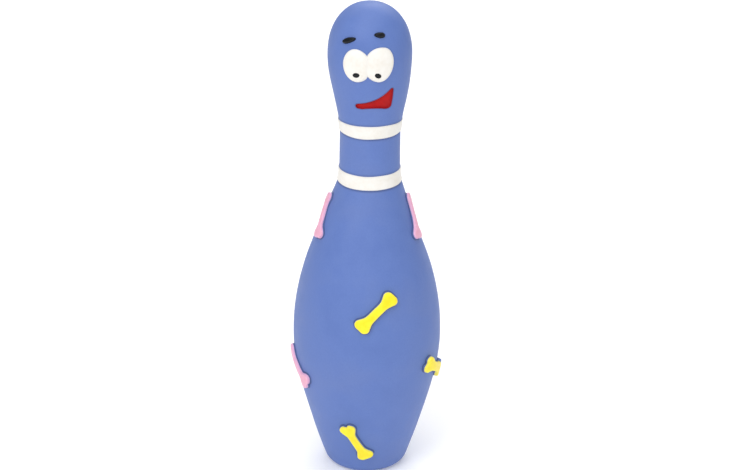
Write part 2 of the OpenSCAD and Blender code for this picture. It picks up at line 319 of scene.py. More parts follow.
# Each bone: angle, height and turn; how far it stands out; its shape; and the tip that the brush missed, if any,
# as x, y and radius in the bone's own plane.
BONES = {
    "centre": ((7.3, 83.9, 44), 1.2, dict(l=21.0, w0=7.4, n0=0.1, w1=7.2, n1=0.0, shank=4.2), None),
    "low": ((-10, 19, 115), 1.2, dict(l=20.8, w0=7.4, n0=0.0, w1=7.6, n1=0.8, shank=4.0), None),
    "right": ((68, 50.5, 150), 1.7, dict(l=21.0, w0=8.0, n0=0.3, w1=7.4, n1=0.8, shank=4.4), (-8.0, -4.0, 3.0)),
    "upper_left": ((-77.5, 117.5, 109), 1.0, dict(l=20.2, w0=7.6, n0=0.3, w1=7.0, n1=0.3, shank=3.8), None),
    "upper_right": ((80, 117.2, 69), 1.1, dict(l=20.4, w0=7.6, n0=0.3, w1=7.0, n1=0.3, shank=3.6), None),
    "lower_left": ((-70.5, 49.5, 145), 1.2, dict(l=20.6, w0=9.0, n0=0.4, w1=7.0, n1=0.2, shank=3.6), None),
    "back": ((150, 86, 120), 1.2, dict(l=20.4, w0=7.4, n0=0.3, w1=7.4, n1=0.6, shank=4.2), None),
    "back_upper": ((-160, 109, 65), 1.1, dict(l=20.4, w0=7.4, n0=0.5, w1=7.4, n1=0.3, shank=4.0), None),
    "back_low": ((-170, 42, 40), 1.2, dict(l=20.6, w0=7.4, n0=0.4, w1=7.4, n1=0.5, shank=4.2), None),
}
bones = {k: Relief(at, bone_line(**shape), tall, 0.62, 2.1, crown=0.28) for k, (at, tall, shape, _) in BONES.items()}

eye_l = Relief((-19, 188, 8), eye_line(5.4, 5.9, 6.7), 0.7, 1.1, 2.2, crown=0.25, crown_w=4.5)
eye_r = Relief((15.5, 188.5, -14), eye_line(6.8, 5.0, 7.1), 0.7, 1.1, 2.2, crown=0.25, crown_w=4.5)
brow_l = Relief((-32, 198, 201), brow_line(6.0, 2.0), 0.45, 0.6, 2.0, crown=0.35, crown_w=1.0)
brow_r = Relief((15, 200.5, -6), brow_line(4.3, 2.0), 0.45, 0.6, 2.0, crown=0.35, crown_w=1.0)
mouth = Relief((10.5, 173, 0), mouth_line(15, 9), -0.85, 0.32, 2.0)

RAISED = list(bones.values()) + [brow_l, brow_r]
ALL = RAISED + [eye_l, eye_r, mouth]


def crease(p):
    """Which side of the crease between the eyes a wall point lies on, in millimetres."""
    return p[:, 0] - (-1.0 + 0.06 * (p[:, 2] - 188))


def eye_rise(p, grow=0.0):
    """Height of the pair of eyes: two domes that meet in a soft crease."""
    a = eye_l.rise(depth_in(eye_l.line, eye_l.local(p)[0]) + grow)
    b = eye_r.rise(depth_in(eye_r.line, eye_r.local(p)[0]) + grow)
    dip = 0.3 * np.exp(-(crease(p) / 0.8) ** 2)
    return np.maximum(np.maximum(a, b) - dip * np.clip(np.minimum(a, b) / 0.6, 0, 1), 0)


def height_at(p, grow=0.0, only=None):
    """How far the moulded wall stands out at base points p, in millimetres."""
    h = np.zeros(len(p))
    for f in (RAISED if only is None else only):
        if f in (eye_l, eye_r, mouth):
            continue
        near = np.linalg.norm(p - f.p0, axis=1) < f.reach
        if near.any():
            uv, w = f.local(p[near])
            d = depth_in(f.line, uv) + grow
            h[near] = np.maximum(h[near], f.rise(d) * (w > -14))
    if only is None or eye_l in only:
        near = np.linalg.norm(p - (eye_l.p0 + eye_r.p0) / 2, axis=1) < 16
        if near.any():
            h[near] = np.maximum(h[near], eye_rise(p[near], grow))
    if only is None or mouth in only:
        near = np.linalg.norm(p - mouth.p0, axis=1) < mouth.reach
        if near.any():
            uv, _ = mouth.local(p[near])
            h[near] = np.where(np.abs(h[near]) > 0, h[near], mouth.rise(depth_in(mouth.line, uv) - grow))
    return h


# Lower and upper edge of each band at the face, and how far each edge drifts round the side.
BANDS = {"upper": (155, 160.8, 0.6, -0.7), "lower": (132.5, 138.6, 0.3, 0.0)}


def band_edges(key, theta):
    lo, hi, dlo, dhi = BANDS[key]
    k = 1 - np.cos(theta)
    return lo + dlo * k, hi + dhi * k


def ridges(p):
    """Low moulded rings under the neck bands, each with a fine groove below it."""
    theta, z = np.arctan2(p[:, 0], -p[:, 1]), p[:, 2]
    out = np.zeros(len(p))
    for key, rise in (("upper", 0.12), ("lower", 0.2)):
        lo, hi = band_edges(key, theta)
        up = np.clip((z - lo + 0.4) / 0.8, 0, 1)
        down = np.clip((hi + 1.0 - z) / 1.0, 0, 1)
        out += rise * up * up * (3 - 2 * up) * down * down * (3 - 2 * down)
        out -= 0.16 * np.exp(-((z - lo + 0.45) / 0.35) ** 2)
    return out


def painted_crease_shade(p):
    """How much painted shade the skin gets at base points p: 1 at the foot of a relief. It stands in for the shade in
    the creases round the reliefs and the mouth, and for the shadow at the neck bands' edges.
    """
    out = np.zeros(len(p))
    # Painted shade round each relief, weaker round the eyes and brows.
    for f in ALL:
        much = 0.35 if f in (eye_l, eye_r) else 0.2 if f in (brow_l, brow_r) else 0.8 if f is mouth else 1.0
        near = np.linalg.norm(p - f.p0, axis=1) < f.reach
        if near.any():
            uv, w = f.local(p[near])
            d = depth_in(f.line, uv)
            out[near] = np.maximum(out[near], much * np.exp(-((d + 0.08) / 0.22) ** 2) * (w > -14))
    # Painted shadow just under each neck band, and fainter painted shade just above it.
    theta = np.arctan2(p[:, 0], -p[:, 1])
    for key in BANDS:
        lo, hi = band_edges(key, theta)
        out = np.maximum(out, 0.9 * np.exp(-((p[:, 2] - lo + 0.2) / 0.4) ** 2))
        out = np.maximum(out, 0.5 * np.exp(-((p[:, 2] - hi - 0.2) / 0.4) ** 2))
    return out


def unevenness(p):
    """The slight waviness of a poured latex skin and its neck rings, in millimetres."""
    out = np.empty(len(p))
    for i, q in enumerate(p):
        v = Vector(q)
        out[i] = noise.noise(v * 0.055) * 0.10 + noise.noise(v * 0.16 + Vector((7, 3, 1))) * 0.045
    return out + ridges(np.asarray(p))


# ------------------------------------------------------------------ mesh helpers
def mesh_object(name, verts, faces, smooth=True, sharp=None, lean=True):
    me = bpy.data.meshes.new(name)
    verts = np.array(verts, float)
    if lean:
        verts[:, 0] += ease(verts[:, 2], LEAN)
    me.from_pydata([tuple(v) for v in verts * MM], [], [tuple(int(i) for i in f) for f in faces])
    me.update()
    o = bpy.data.objects.new(name, me)
    bpy.context.scene.collection.objects.link(o)
    if smooth:
        me.shade_smooth()
        if sharp:
            me.set_sharp_from_angle(angle=math.radians(sharp))
    return o


def cdt(points, edges):
    v, _, f, orig, _, _ = delaunay_2d_cdt([Vector(p) for p in points], edges, [], 0, 1e-5)
    return np.array([tuple(p) for p in v]), [list(t) for t in f], orig


def ring_edges(start, n):
    return [(start + i, start + (i + 1) % n) for i in range(n)]


SEAM = math.radians(-115)
TX = 20.0  # millimetres of the flat map to a radian


def skin_mesh():
    around = 132
    pole_s = S_END - 0.7
    th = SEAM + np.arange(around + 1) * 2 * math.pi / around
    ss = np.linspace(0, pole_s, 205)
    for lo, hi, _, _ in BANDS.values():  # finer rows at the edges of the neck rings
        a, b = float(s_of_z(lo - 1.8)), float(s_of_z(hi + 1.6))
        ss = np.concatenate([ss[(ss < a) | (ss > b)], np.arange(a + 0.2, b - 0.1, 0.36)])
    ss = np.sort(ss)
    rows = len(ss)
    pts, edges = [], []

    def add(p):
        start = len(pts)
        pts.extend([(float(a), float(b)) for a, b in p])
        return start

    # rings of the reliefs, on the flat map
    keep_out = []
    for f in ALL:
        fine = f.edge
        rings = [(-0.5, False), (-0.18, True), (0.0, True)]
        rings += [(x * fine, True) for x in (0.12, 0.28, 0.5, 0.75, 1.0)]
        for d, hard in rings:
            q = moved(f.line, -d) if abs(d) > 1e-6 else f.line
            if len(q) < 8:
                continue
            t, s = f.onto_wall(q)
            t = np.where(t < SEAM, t + 2 * math.pi, t)
            start = add(np.stack([t * TX, s], 1))
            if hard:
                n = len(q)
                gap = np.linalg.norm(q - np.roll(q, -1, 0), axis=1)
                edges.extend([(start + i, start + (i + 1) % n) for i in range(n) if gap[i] < 1.2])
        # points inside the shape
        g = 0.75
        lo, hi = f.line.min(0), f.line.max(0)
        gx, gy = np.meshgrid(np.arange(lo[0], hi[0], g), np.arange(lo[1], hi[1], g * 0.87))
        gx[1::2] += g / 2
        q = np.stack([gx.ravel(), gy.ravel()], 1)
        q = q[depth_in(f.line, q) > fine + 0.35]
        if len(q):
            t, s = f.onto_wall(q)
            t = np.where(t < SEAM, t + 2 * math.pi, t)
            add(np.stack([t * TX, s], 1))
        keep_out.append(f)
    # even points elsewhere
    gt, gs = np.meshgrid(th, ss)
    gt = gt.copy()
    step = th[1] - th[0]
    gt[1:-1:2, 1:-1] += step / 2
    inner = np.ones(gt.shape, bool)
    inner[:, 0] = inner[:, -1] = inner[0, :] = inner[-1, :] = False
    inner[1:-1:2, -2] = False
    flat = np.stack([gt[inner], gs[inner]], 1)
    p = wall_point(flat[:, 0], flat[:, 1])
    free = np.ones(len(p), bool)
    for f in keep_out:
        near = np.linalg.norm(p - f.p0, axis=1) < f.reach
        if near.any():
            uv, _ = f.local(p[near])
            free[np.where(near)[0][depth_in(f.line, uv) > -1.0]] = False
    flat = flat[free]
    add(np.stack([flat[:, 0] * TX, flat[:, 1]], 1))
    # the border of the map: its two sides are one seam
    left = add([(th[0] * TX, s) for s in ss])
    right = add([(th[-1] * TX, s) for s in ss])
    low = add([(t * TX, 0.0) for t in th[1:-1]])
    high = add([(t * TX, pole_s) for t in th[1:-1]])
    edges += [(left + i, left + i + 1) for i in range(rows - 1)]
    edges += [(right + i, right + i + 1) for i in range(rows - 1)]
    for st, l0, r0 in ((low, left, right), (high, left + rows - 1, right + rows - 1)):
        edges += [(l0, st)] + [(st + i, st + i + 1) for i in range(around - 2)] + [(st + around - 2, r0)]
    v, tris, orig = cdt(pts, edges)
    theta, s = v[:, 0] / TX, v[:, 1]
    base = wall_point(theta, s)
    h = height_at(base)
    calm = 1 - np.exp(-np.maximum(z_of(s), 0) / 3)
    h = h + unevenness(base) * calm
    h[s < 0.01] = 0
    painted_shade = painted_crease_shade(base)
    outer = wall_point(theta, s, h)
    outer[:, 2] = np.maximum(outer[:, 2], 0)

    # weld the seam
    where = {}
    for i, o in enumerate(orig):
        for j in o:
            where[j] = i
    weld = list(range(len(v)))
    for i in range(rows):
        weld[where[right + i]] = where[left + i]
    faces = []
    for t in tris:
        t = [weld[i] for i in t]
        if len(set(t)) == len(t):
            faces.append(t)
    verts = [tuple(p) for p in outer]
    # crown
    top_ring = [where[left + rows - 1]] + [where[high + i] for i in range(around - 1)]
    pole = len(verts)
    verts.append((0, 0, PIN_H))
    for i in range(around):
        faces.append([top_ring[i], top_ring[(i + 1) % around], pole])
    # base, hole and inside, ring by ring on the same angles
    bottom = [where[left]] + [where[low + i] for i in range(around - 1)]
    angles = th[:-1]
    inside = [(11.35, 0.0), (11.0, 0.12), (10.84, 0.45), (10.8, 1.3), (10.6, 1.58), (10.3, 1.62), (8.5, 1.62),
              (8.12, 1.72), (8.02, 2.0), (8.02, 3.5), (8.15, 3.76), (8.5, 3.82), (12, 3.82), (15.2, 3.95)]
    lip_s = np.linspace(float(s_of_z(5.5)), S_END, 60)
    for s in lip_s[:-1]:
        q = wall_point(0.0, s, -WALL)
        inside.append((max(float(-q[1]), 0.4), float(q[2])))
    ring = bottom
    for r, z in inside:
        new = list(range(len(verts), len(verts) + around))
        verts.extend((r * math.sin(a), -r * math.cos(a), z) for a in angles)
        for i in range(around):
            j = (i + 1) % around
            faces.append([ring[j], ring[i], new[i], new[j]])
        ring = new
    tip = len(verts)
    verts.append((0, 0, PIN_H - WALL))
    for i in range(around):
        faces.append([ring[(i + 1) % around], ring[i], tip])
    # keep only what the faces use
    used = sorted({i for f in faces for i in f})
    new_i = {o: n for n, o in enumerate(used)}
    painted_shade = [float(painted_shade[i]) if i < len(painted_shade) else 0.0 for i in used]
    verts = [verts[i] for i in used]
    faces = [[new_i[i] for i in f] for f in faces]
    return np.array(verts), faces, painted_shade


def shell(name, f, border, top, bottom, rings=(), step=0.6, rim=(0.1, 0.25, 0.45), extra_cut=None, line_for=None):
    """A closed thin piece lying on the wall: its border and inner points come from the plane of relief f.
    top(uv, base, d) and bottom(uv, base, d) give heights over the smooth wall; d is the depth inside the border."""
    pts, edges = [], []

    def add(q, hard):
        start = len(pts)
        pts.extend([(float(a), float(b)) for a, b in q])
        if hard:
            n = len(q)
            gap = np.linalg.norm(q - np.roll(q, -1, 0), axis=1)
            edges.extend([(start + i, start + (i + 1) % n) for i in range(n) if gap[i] < 1.0])

    border = even(border, 0.28)
    add(border, True)
    for d in rim:
        q = moved(border, -d)
        if len(q) > 7:
            add(q, False)
    for line, d in rings:
        q = moved(line, -d) if abs(d) > 1e-6 else line
        inside = depth_in(border, q) > 0.06
        if inside.all():
            add(q, True)
        elif inside.any():
            add(q[inside], False)
    lo, hi = border.min(0), border.max(0)
    gx, gy = np.meshgrid(np.arange(lo[0], hi[0], step), np.arange(lo[1], hi[1], step * 0.87))
    gx[1::2] += step / 2
    q = np.stack([gx.ravel(), gy.ravel()], 1)
    ok = depth_in(border, q) > (rim[-1] if rim else 0) + step * 0.4
    for line, d in rings:
        ok &= np.abs(depth_in(line, q) - d) > step * 0.3
    q = q[ok]
    if len(q):
        add(q, False)
    v, tris, _ = cdt(pts, edges)
    cen = np.array([v[t].mean(0) for t in tris])
    keep = depth_in(border, cen) > 0
    tris = [t for t, k in zip(tris, keep) if k]
    used = sorted({i for t in tris for i in t})
    idx = {o: n for n, o in enumerate(used)}
    v = v[used]
    tris = [[idx[i] for i in t] for t in tris]
    d = np.maximum(depth_in(border, v), 0)
    count = {}
    for t in tris:
        for a, b in zip(t, t[1:] + t[:1]):
            count[(a, b)] = 1
    rim_edges = [(a, b) for (a, b) in count if (b, a) not in count]
    on_rim = {i for e in rim_edges for i in e}
    d[[i for i in on_rim]] = 0
    theta, s = f.onto_wall(v)
    base = wall_point(theta, s)
    up, down = top(v, base, d), bottom(v, base, d)
    down = np.minimum(down, up - 0.02)
    a, b = wall_point(theta, s, up), wall_point(theta, s, down)
    n = len(v)
    faces = [t for t in tris] + [[i + n for i in t[::-1]] for t in tris]
    faces += [[e[1], e[0], e[0] + n, e[1] + n] for e in rim_edges]
    o = mesh_object(name, np.vstack([a, b]), faces, sharp=62)
    # Nearness to the coat's edge, from which the coat material paints its rim highlight and shade.
    at = o.data.attributes.new("rim", "FLOAT", "POINT")
    at.data.foreach_set("value", np.concatenate([np.exp(-d / 0.35), np.exp(-d / 0.35)]).astype(np.float32))
    return o


def soft(d, w):
    x = np.clip(d / w, 0, 1)
    return np.sqrt(np.clip(1 - (1 - x) ** 2, 0, 1))


def cut_circle(line, c, r):
    """Takes a round bite out of a closed curve."""
    line = even(line, 0.2)
    d = np.linalg.norm(line - np.array(c), axis=1)
    ins = d < r
    if not ins.any():
        return line
    n = len(line)
    start = [i for i in range(n) if ins[i] and not ins[i - 1]][0]
    run = 0
    while ins[(start + run) % n]:
        run += 1
    a, b = line[start - 1], line[(start + run) % n]
    a0 = math.atan2(a[1] - c[1], a[0] - c[0])
    b0 = math.atan2(b[1] - c[1], b[0] - c[0])
    best = None
    for sweep in (((b0 - a0) % (2 * math.pi)), -((a0 - b0) % (2 * math.pi))):
        t = a0 + np.linspace(0, 1, 24)[1:-1] * sweep
        arc = np.stack([c[0] + r * np.cos(t), c[1] + r * np.sin(t)], 1)
        score = depth_in(line, arc).mean()
        if best is None or score > best[0]:
            best = (score, arc)
    rest = [line[(start + run + i) % n] for i in range(n - run)]
    return np.vstack([rest, best[1]])


def clip_line(line, keep):
    """Keeps the part of a closed curve where keep(points) is positive, closed with a straight edge."""
    v = keep(line)
    out = []
    n = len(line)
    for i in range(n):
        j = (i + 1) % n
        if v[i] >= 0:
            out.append(line[i])
        if (v[i] >= 0) != (v[j] >= 0):
            t = v[i] / (v[i] - v[j])
            out.append(line[i] + (line[j] - line[i]) * t)
    return np.array(out)


# ------------------------------------------------------------------ materials
def node_tree(name):
    m = bpy.data.materials.new(name)
    m.use_nodes = True
    t = m.node_tree
    t.nodes.clear()
    out = t.nodes.new("ShaderNodeOutputMaterial")
    bsdf = t.nodes.new("ShaderNodeBsdfPrincipled")
    t.links.new(bsdf.outputs[0], out.inputs[0])
    return m, t, bsdf


class Kit:
    """Short calls for building a node tree in object coordinates, in metres."""

    def __init__(self, name):
        self.m, self.t, self.bsdf = node_tree(name)
        self.obj = self.t.nodes.new("ShaderNodeTexCoord").outputs["Object"]

    def link(self, a, b):
        self.t.links.new(a, b)

    def stretch(self, x, y, z, rot=(0, 0, 0)):
        n = self.t.nodes.new("ShaderNodeMapping")
        n.inputs["Scale"].default_value = (x, y, z)
        n.inputs["Rotation"].default_value = rot
        self.link(self.obj, n.inputs[0])
        return n.outputs[0]

    def noise(self, scale, detail=2.0, rough=0.5, vec=None, distort=0.0):
        n = self.t.nodes.new("ShaderNodeTexNoise")
        n.inputs["Scale"].default_value = scale
        n.inputs["Detail"].default_value = detail
        n.inputs["Roughness"].default_value = rough
        n.inputs["Distortion"].default_value = distort
        self.link(vec or self.obj, n.inputs["Vector"])
        return n.outputs["Fac"]

    def ramp(self, fac, stops):
        n = self.t.nodes.new("ShaderNodeValToRGB")
        els = n.color_ramp.elements
        while len(els) < len(stops):
            els.new(0.5)
        for e, (p, c) in zip(els, stops):
            e.position = p
            e.color = (*c, 1) if len(c) == 3 else c
        self.link(fac, n.inputs[0])
        return n.outputs[0]

    def remap(self, fac, a, b, c, d):
        n = self.t.nodes.new("ShaderNodeMapRange")
        for i, x in enumerate((a, b, c, d)):
            n.inputs[i + 1].default_value = x
        self.link(fac, n.inputs[0])
        return n.outputs[0]

    def math(self, op, a, b):
        n = self.t.nodes.new("ShaderNodeMath")
        n.operation = op
        for i, x in enumerate((a, b)):
            if isinstance(x, (int, float)):
                n.inputs[i].default_value = x
            else:
                self.link(x, n.inputs[i])
        return n.outputs[0]

    def mix(self, fac, a, b, blend="MIX"):
        n = self.t.nodes.new("ShaderNodeMix")
        n.data_type = "RGBA"
        n.blend_type = blend
        for sock, x in ((n.inputs[0], fac), (n.inputs[6], a), (n.inputs[7], b)):
            if isinstance(x, (int, float)):
                sock.default_value = x
            elif isinstance(x, tuple):
                sock.default_value = (*x, 1)
            else:
                self.link(x, sock)
        return n.outputs[2]

    def attribute(self, name):
        n = self.t.nodes.new("ShaderNodeAttribute")
        n.attribute_name = name
        return n.outputs["Fac"]

    def bump(self, height, dist, strength=1.0, after=None):
        n = self.t.nodes.new("ShaderNodeBump")
        n.inputs["Strength"].default_value = strength
        n.inputs["Distance"].default_value = dist
        self.link(height, n.inputs["Height"])
        if after is not None:
            self.link(after, n.inputs["Normal"])
        return n.outputs[0]

    def set(self, **k):
        for name, x in k.items():
            sock = self.bsdf.inputs[name.replace("_", " ")]
            if isinstance(x, (int, float)):
                sock.default_value = x
            elif isinstance(x, tuple):
                sock.default_value = x
            else:
                self.link(x, sock)


def blue_latex():
    k = Kit("blue_latex")
    broad = k.noise(38, 3, 0.55)
    mid = k.noise(150, 4, 0.6, distort=0.4)
    fine = k.noise(1400, 3, 0.6)
    c = k.ramp(broad, [(0.3, (0.1, 0.174, 0.47)), (0.52, (0.11, 0.187, 0.494)), (0.75, (0.127, 0.195, 0.473))])
    c = k.mix(k.remap(mid, 0.35, 0.75, 0, 0.32), c, (0.14, 0.226, 0.527))
    c = k.mix(k.remap(fine, 0.35, 0.7, 0.0, 0.16), c, (0.076, 0.135, 0.385))
    # Painted shade: the blue turns towards a near-black blue by the per-point shade attribute, at the foot of each
    # relief and at the neck bands' edges.
    c = k.mix(k.math("MULTIPLY", k.attribute("painted_crease_shade"), 0.75), c, (0.035, 0.045, 0.1))
    k.set(Base_Color=c, Roughness=k.remap(mid, 0.3, 0.7, 0.46, 0.62))
    k.set(Specular_IOR_Level=0.42)
    pores = k.bump(k.noise(2600, 2, 0.6), 0.00003, 0.55)
    k.set(Normal=k.bump(k.noise(420, 3, 0.5), 0.00012, 0.35, after=pores))
    return k.m


def coat_latex(name, light, base, rim_light_and_shade, rim_mix=0.35, rough=(0.34, 0.5), spec=0.5, turn=(0, 0, 0)):
    """Latex put on by brush: streaks along the stroke, a satin film, and a painted rim: the colour turns towards a
    third colour at the edge, a painted highlight where that colour is paler than the coat and painted shade where it
    is darker.
    """
    k = Kit(name)
    streak = k.noise(620, 3, 0.55, vec=k.stretch(1, 0.25, 1, rot=turn))
    cloud = k.noise(210, 2, 0.5)
    c = k.ramp(cloud, [(0.3, base), (0.7, light)])
    c = k.mix(k.remap(streak, 0.42, 0.72, 0, 0.5), c, light)
    c = k.mix(k.remap(streak, 0.5, 0.28, 0, 0.45), c, base)
    # Painted rim light and shade: towards the third colour within about a third of a millimetre of the coat's edge.
    c = k.mix(k.math("MULTIPLY", k.attribute("rim"), rim_mix), c, rim_light_and_shade)
    k.set(Base_Color=c, Roughness=k.remap(cloud, 0.3, 0.7, *rough))
    k.set(Specular_IOR_Level=spec)
    k.set(Normal=k.bump(streak, 0.00008, 0.6, after=k.bump(k.noise(1500, 2, 0.5), 0.00003, 0.4)))
    return k.m


def moulded_plastic(name, base, light, rough=0.42):
    k = Kit(name)
    cloud = k.noise(300, 3, 0.5)
    k.set(Base_Color=k.ramp(cloud, [(0.3, base), (0.7, light)]), Roughness=k.remap(cloud, 0.3, 0.7, rough - 0.05, rough + 0.1))
    k.set(Specular_IOR_Level=0.4)
    k.set(Normal=k.bump(k.noise(2200, 2, 0.5), 0.00003, 0.5))
    return k.m


def film():
    k = Kit("reed_film")
    c = k.ramp(k.noise(500, 2, 0.5), [(0.3, (0.62, 0.7, 0.78)), (0.7, (0.76, 0.82, 0.88))])
    k.set(Base_Color=c, Roughness=k.remap(k.noise(900, 2, 0.5), 0.3, 0.7, 0.12, 0.22))
    return k.m


def wadding():
    k = Kit("wadding")
    fibre = k.noise(900, 4, 0.7, vec=k.stretch(1, 1, 0.18, rot=(0.5, 0.3, 0)), distort=1.2)
    lump = k.noise(120, 3, 0.6)
    c = k.ramp(fibre, [(0.3, (0.62, 0.62, 0.6)), (0.62, (0.88, 0.88, 0.86))])
    k.set(Base_Color=k.mix(k.remap(lump, 0.3, 0.7, 0, 0.3), c, (0.7, 0.7, 0.68)), Roughness=0.9)
    k.set(Sheen_Weight=0.3)
    k.set(Normal=k.bump(fibre, 0.0004, 0.9, after=k.bump(lump, 0.002, 0.7)))
    return k.m


MAT = {
    "blue": blue_latex(),
    # The third colour of each coat is its painted rim: a paler painted highlight on yellow, pink and black, and darker
    # painted shade on white and red.
    "white": coat_latex("white_latex", (0.88, 0.86, 0.82), (0.82, 0.78, 0.71), (0.6, 0.6, 0.62), 0.3, (0.36, 0.5), 0.42),
    "yellow": coat_latex("yellow_latex", (1.0, 0.88, 0.02), (0.98, 0.74, 0.006), (0.96, 0.92, 0.22), 0.45, (0.34, 0.48), 0.42),
    "pink": coat_latex("pink_latex", (0.86, 0.44, 0.6), (0.8, 0.37, 0.5), (0.78, 0.5, 0.76), 0.45, (0.36, 0.5), 0.4),
    "red": coat_latex("red_latex", (0.5, 0.006, 0.005), (0.38, 0.004, 0.005), (0.1, 0.005, 0.02), 0.6, (0.4, 0.55), 0.16),
    "black": coat_latex("black_latex", (0.009, 0.011, 0.013), (0.005, 0.006, 0.008), (0.012, 0.014, 0.022), 0.4, (0.16, 0.26), 0.22),
    "plastic": moulded_plastic("squeaker_plastic", (0.7, 0.69, 0.62), (0.8, 0.79, 0.73)),
    "film": film(),
    "wadding": wadding(),
}


def dress(o, mat, body="toy", node=None):
    o.data.materials.clear()
    o.data.materials.append(MAT[mat])
    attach(o, body)
    if node:
        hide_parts(node)
    return o


# ------------------------------------------------------------------ pieces
verts, faces, painted_shade = skin_mesh()
skin = mesh_object("skin", verts, faces)
# The per-point painted shade for the blue material.
skin.data.attributes.new("painted_crease_shade", "FLOAT", "POINT").data.foreach_set("value", np.array(painted_shade, np.float32))
dress(skin, "blue", node="latex_skin")

FILM = 0.27


def coat_over(name, f, border, mat, node, thick=FILM, grow=0.14, rings=None, only=None, rim_w=0.32):
    if rings is None:
        rings = [(f.line, d) for d in (-0.12, 0.0, 0.16 * f.edge, 0.38 * f.edge, 0.65 * f.edge, f.edge)]

    def top(uv, base, d):
        return height_at(base, grow, only) + unevenness(base) + thick * soft(d, rim_w) - 0.02

    def bottom(uv, base, d):
        return height_at(base, 0, only) + unevenness(base) - 0.1

    return dress(shell(name, f, border, top, bottom, rings=rings), mat, node=node)


def painted(line, seed, out=0.3, amount=0.1):
    line = even(line, 0.28)
    return even(moved(line, out + wobble(len(line), seed, amount)), 0.28)


coats = [
    ("centre", "yellow", "yellow_bone_centre", 1), ("low", "yellow", "yellow_bone_low", 2),
    ("right", "yellow", "yellow_bone_right", 3), ("upper_left", "pink", "pink_bone_upper_left", 4),
    ("upper_right", "pink", "pink_bone_upper_right", 5), ("lower_left", "pink", "pink_bone_lower_left", 6),
    ("back", "yellow", "yellow_bone_back", 7), ("back_upper", "pink", "pink_bone_back_upper", 8),
    ("back_low", "pink", "pink_bone_back_low", 9),
]
for key, mat, node, seed in coats:
    f, bare = bones[key], BONES[key][3]
    edge = painted(f.line, seed, -0.26 if key in ("centre", "low") else -0.16, 0.07)
    if bare:
        edge = cut_circle(edge, bare[:2], bare[2])
    coat_over(node + "_coat", f, edge, mat, node, only=[f])

for f, node, side, seed in ((eye_l, "left_eye", -1, 11), (eye_r, "right_eye", 1, 12)):
    edge = painted(f.line, seed, 0.25, 0.06)

    def side_of(line, f=f, side=side):
        p = wall_point(*f.onto_wall(line))
        return crease(p) * side + 0.3

    edge = clip_line(edge, side_of)
    coat_over(node + "_coat", f, edge, "white", node, only=[eye_l, eye_r], grow=0.2, rim_w=0.4)

for at, a, b, node in (((-17.5, 184.5, 12), 1.4, 1.05, "left_pupil"), ((10.5, 184.5, -28), 1.35, 1.05, "right_pupil")):
    f = Relief(at, oval_line(a, b), 0.0, 0.5)

    def top(uv, base, d):
        return height_at(base, 0.2, [eye_l, eye_r]) + unevenness(base) + FILM + 0.34 * soft(d, 1.0) - 0.05

    def bottom(uv, base, d):
        return height_at(base, 0.2, [eye_l, eye_r]) + unevenness(base) + FILM - 0.15

    o = shell(node + "_dab", f, f.line, top, bottom, step=0.3, rim=(0.08, 0.2, 0.4))
    dress(o, "black", node=node)

for f, node, seed in ((brow_l, "left_eyebrow", 13), (brow_r, "right_eyebrow", 14)):
    coat_over(node + "_coat", f, painted(f.line, seed, 0.22, 0.05), "black", node, only=[f], grow=0.12)

edge = moved(even(mouth.line, 0.28), 0.02 + wobble(len(even(mouth.line, 0.28)), 15, 0.08))
coat_over("mouth_coat", mouth, edge, "red", "mouth", only=[mouth], grow=0.06, thick=0.22)


def neck_band(name, key, node, seed):
    n, m = 300, 16
    t = np.arange(n) / n * 2 * math.pi
    lo, hi = band_edges(key, t)
    lo, hi = lo + wobble(n, seed, 0.1), hi + wobble(n, seed + 3, 0.1)
    verts, faces = [], []
    rows = []
    for j in range(m + 1):
        x = 0.5 - 0.5 * math.cos(math.pi * j / m)
        z = lo + (hi - lo) * x
        s = s_of_z(z)
        d = np.minimum(z - lo, hi - z)
        h = 0.3 * soft(d, 0.4) - 0.02
        base = wall_point(t, s)
        p = wall_point(t, s, h + unevenness(base))
        rows.append(list(range(len(verts), len(verts) + n)))
        verts.extend(p)
    top_rows = len(rows)
    for j in range(m + 1):
        x = 1 - (0.5 - 0.5 * math.cos(math.pi * j / m))
        z = lo + (hi - lo) * x
        s = s_of_z(z)
        base = wall_point(t, s)
        rows.append(list(range(len(verts), len(verts) + n)))
        verts.extend(wall_point(t, s, unevenness(base) - 0.12))
    for a, b in zip(rows, rows[1:] + rows[:1]):
        for i in range(n):
            j = (i + 1) % n
            faces.append([a[i], a[j], b[j], b[i]])
    o = mesh_object(name, np.array(verts), faces, sharp=62)
    # Nearness to the band's edges, from which the white material paints shade along them.
    at = o.data.attributes.new("rim", "FLOAT", "POINT")
    z = np.array(verts)[:, 2].reshape(-1, n)
    at.data.foreach_set("value", np.exp(-np.minimum(np.abs(z - lo), np.abs(z - hi)) / 0.35).ravel().astype(np.float32))
    return dress(o, "white", node=node)


neck_band("upper_band_coat", "upper", "upper_neck_band", 21)
neck_band("lower_band_coat", "lower", "lower_neck_band", 22)


def turned(name, section, n=96):
    """A turned solid from a closed section of (radius, height), with small rounds at its corners."""
    pts = []
    m = len(section)
    for i in range(m):
        a, b, c = (np.array(section[(i + k) % m], float) for k in (-1, 0, 1))
        u, v = a - b, c - b
        lu, lv = np.linalg.norm(u), np.linalg.norm(v)
        r = min(0.18, lu * 0.35, lv * 0.35)
        p, q = b + u / lu * r, b + v / lv * r
        for t in (0, 0.35, 0.65, 1):
            pts.append((1 - t) ** 2 * p + 2 * t * (1 - t) * b + t * t * q)
    verts, faces = [], []
    for p in pts:
        verts.extend((p[0] * math.sin(x), -p[0] * math.cos(x), p[1]) for x in np.arange(n) / n * 2 * math.pi)
    k = len(pts)
    for i in range(k):
        for j in range(n):
            a, b = i * n + j, i * n + (j + 1) % n
            c, d = ((i + 1) % k) * n + (j + 1) % n, ((i + 1) % k) * n + j
            faces.append([a, b, c, d])
    return mesh_object(name, np.array(verts), faces, sharp=40, lean=False)


